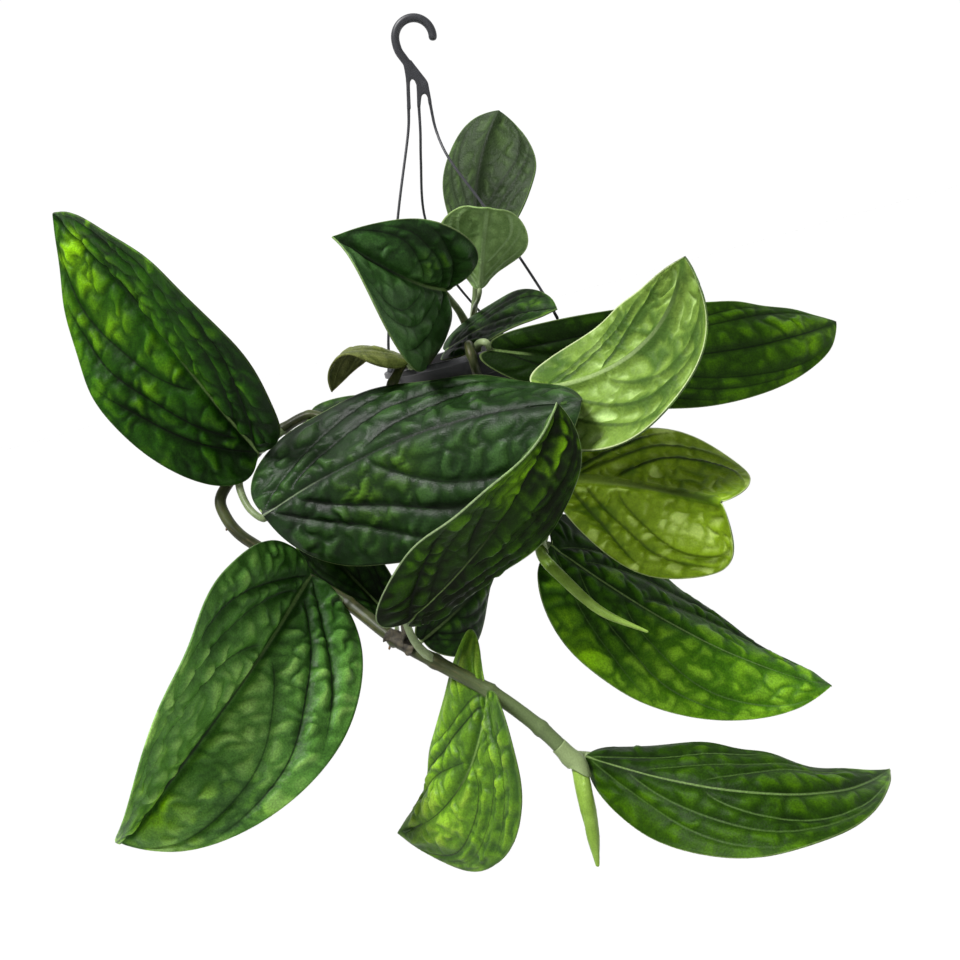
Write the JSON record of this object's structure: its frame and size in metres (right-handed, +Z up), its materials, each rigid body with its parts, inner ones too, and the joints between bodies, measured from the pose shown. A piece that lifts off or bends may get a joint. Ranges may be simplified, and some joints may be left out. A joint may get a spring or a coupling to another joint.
{
  "type": "potted monstera",
  "caption": "Monstera karstenianum with quilted dark green leaves on trailing stems, in a small plastic nursery pot on a hook hanger.",
  "frame": {"origin": "inner top of the hook, the point the pot hangs from", "axes": "+Z up, -Y towards the front of the plant, +X to the right seen from the front"},
  "size_m": [0.421, 0.2499, 0.4393],
  "materials": {
    "hanger_plastic": "satin",
    "pot_plastic": "satin",
    "potting_mix": "matte",
    "stem": "satin",
    "rolled_leaf": "satin",
    "leaf": "satin",
    "young_leaf": "satin"
  },
  "bodies": {
    "root": {"hanger": "hanger_plastic", "pot": "pot_plastic", "soil": "potting_mix", "vine_trailing": "stem", "vine_right": "stem", "vine_top": "stem", "spear_right": "rolled_leaf", "spear_bottom": "rolled_leaf", "leaf_left_upper": "leaf", "leaf_left_lower": "leaf", "leaf_centre": "leaf", "leaf_folded_front": "leaf", "leaf_pale_upper": "young_leaf", "leaf_pale_lower": "young_leaf", "leaf_right_back": "leaf", "leaf_top_back": "leaf", "leaf_top_new": "young_leaf", "leaf_top_front": "leaf", "leaf_top_right": "leaf", "leaf_top_left": "leaf", "leaf_rim_left": "leaf", "leaf_right_lower": "leaf", "leaf_bottom_right": "leaf", "leaf_bottom": "leaf", "leaf_shade_right": "leaf", "leaf_shade_left": "leaf"}
  },
  "joints": []
}
